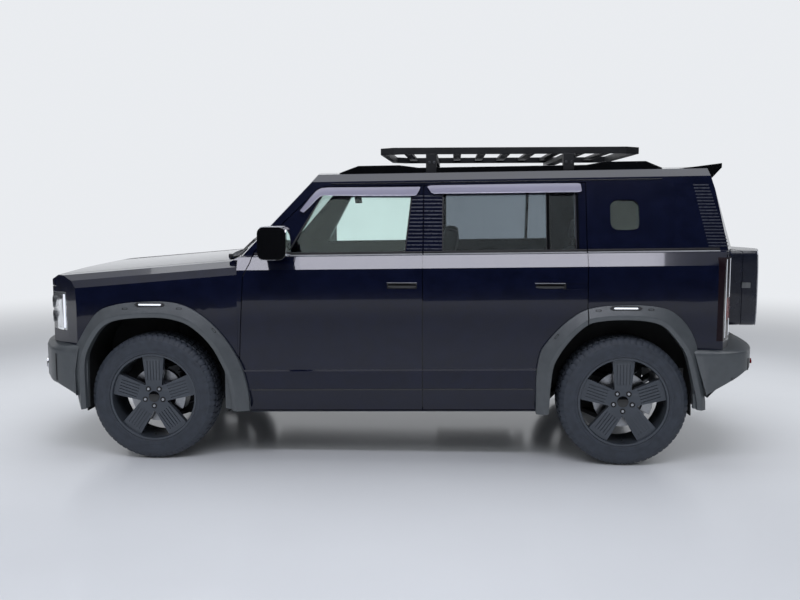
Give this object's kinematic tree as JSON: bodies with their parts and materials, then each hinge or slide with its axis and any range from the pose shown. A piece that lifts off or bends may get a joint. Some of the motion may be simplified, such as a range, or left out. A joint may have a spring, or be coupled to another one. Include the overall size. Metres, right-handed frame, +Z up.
{
  "type": "off-road 4x4 with roof rack",
  "caption": "Boxy five-door off-road 4x4 with flared arches, flat roof rack, side-hinged tailgate with a storage case; doors, hood, steering and wheels move.",
  "frame": {"origin": "on the floor under the middle of the vehicle's length and width", "axes": "+X to the rear, +Y to the vehicle's right, +Z up"},
  "size_m": [4.785, 2.264, 1.88],
  "materials": {
    "paint": "gloss clear coat over near-black paint",
    "trim": "grained grey plastic",
    "gloss": "gloss black plastic",
    "glass": "tinted window glass",
    "head_lens": "clear lamp lens",
    "tail_lens": "red lamp lens",
    "tyre": "moulded rubber",
    "wheel": "satin gunmetal lacquer",
    "steel": "black coated steel",
    "metal": "bare metal",
    "underbody": "sealed black underbody",
    "seat": "stitched dark upholstery",
    "interior": "dark interior plastic",
    "rack": "fine-textured black powder coat"
  },
  "bodies": {
    "chassis": {"side_frames": "paint", "roof_panel": "paint", "front_fenders": "paint", "arch_flares": "trim", "wheel_liners": "underbody", "floor_pan": "underbody", "engine_bay": "underbody", "cowl_panel": "gloss", "fixed_glass": "glass", "front_bumper": "trim", "grille": "gloss", "headlamps": "head_lens", "rear_bumper": "trim", "tail_lamps": "tail_lens", "mud_flaps": "trim", "roof_rails": "gloss", "roof_rack": "rack", "roof_spoiler": "gloss", "dashboard": "interior", "front_seats": "seat", "rear_seat": "seat", "engine_block": "metal", "front_suspension": "steel", "rear_suspension": "steel", "driveline": "steel", "fuel_tank": "underbody", "exhaust": "metal"},
    "hood": {"hood": "paint"},
    "tailgate": {"tailgate": "paint", "tailgate_glass": "glass", "storage_case": "gloss"},
    "steering_wheel": {"steering_wheel": "interior"},
    "door_front_left": {"door_front_left": "paint", "glass_front_left": "glass", "mirror_left": "gloss"},
    "door_rear_left": {"door_rear_left": "paint", "glass_rear_left": "glass", "door_flare_left": "trim"},
    "knuckle_left": {"knuckle_left": "steel"},
    "wheel_front_left": {"rim_front_left": "wheel", "tyre_front_left": "tyre"},
    "wheel_rear_left": {"rim_rear_left": "wheel", "tyre_rear_left": "tyre"},
    "door_front_right": {"door_front_right": "paint", "glass_front_right": "glass", "mirror_right": "gloss"},
    "door_rear_right": {"door_rear_right": "paint", "glass_rear_right": "glass", "door_flare_right": "trim"},
    "knuckle_right": {"knuckle_right": "steel"},
    "wheel_front_right": {"rim_front_right": "wheel", "tyre_front_right": "tyre"},
    "wheel_rear_right": {"rim_rear_right": "wheel", "tyre_rear_right": "tyre"}
  },
  "joints": [
    {"name": "steer_left", "type": "hinge", "parent": "chassis", "child": "knuckle_left", "pos_m": [-1.4825, -0.79, 0.3815], "axis": [0, 0, 1], "range_deg": [-33, 33]},
    {"name": "steer_right", "type": "hinge", "parent": "chassis", "child": "knuckle_right", "pos_m": [-1.4825, 0.79, 0.3815], "axis": [0, 0, 1], "range_deg": [-33, 33]},
    {"name": "front_wheel_left", "type": "hinge", "parent": "knuckle_left", "child": "wheel_front_left", "pos_m": [-1.4825, -0.85, 0.3815], "axis": [0, 1, 0], "continuous": true},
    {"name": "rear_wheel_left", "type": "hinge", "parent": "chassis", "child": "wheel_rear_left", "pos_m": [1.3175, -0.85, 0.3815], "axis": [0, 1, 0], "continuous": true},
    {"name": "front_door_left", "type": "hinge", "parent": "chassis", "child": "door_front_left", "pos_m": [-0.9595, -0.9595, 0.75], "axis": [0, 0, -1], "range_deg": [0, 65]},
    {"name": "rear_door_left", "type": "hinge", "parent": "chassis", "child": "door_rear_left", "pos_m": [0.1415, -0.9595, 0.75], "axis": [0, 0, -1], "range_deg": [0, 70]},
    {"name": "front_wheel_right", "type": "hinge", "parent": "knuckle_right", "child": "wheel_front_right", "pos_m": [-1.4825, 0.85, 0.3815], "axis": [0, 1, 0], "continuous": true},
    {"name": "rear_wheel_right", "type": "hinge", "parent": "chassis", "child": "wheel_rear_right", "pos_m": [1.3175, 0.85, 0.3815], "axis": [0, 1, 0], "continuous": true},
    {"name": "front_door_right", "type": "hinge", "parent": "chassis", "child": "door_front_right", "pos_m": [-0.9595, 0.9595, 0.75], "axis": [0, 0, 1], "range_deg": [0, 65]},
    {"name": "rear_door_right", "type": "hinge", "parent": "chassis", "child": "door_rear_right", "pos_m": [0.1415, 0.9595, 0.75], "axis": [0, 0, 1], "range_deg": [0, 70]},
    {"name": "hood_lift", "type": "hinge", "parent": "chassis", "child": "hood", "pos_m": [-1.045, 0, 1.188], "axis": [0, 1, 0], "range_deg": [0, 50]},
    {"name": "tailgate_swing", "type": "hinge", "parent": "chassis", "child": "tailgate", "pos_m": [1.975, 0.748, 0.98], "axis": [0, 0, 1], "range_deg": [0, 85]},
    {"name": "steering_column", "type": "hinge", "parent": "chassis", "child": "steering_wheel", "pos_m": [-0.5155, -0.37, 0.985], "axis": [0.8988, 0, 0.4384], "range_deg": [-495, 495]}
  ],
  "couplings": [
    {"joint": "steer_right", "follows": "steer_left", "ratio": 1},
    {"joint": "steering_column", "follows": "steer_left", "ratio": 15}
  ]
}
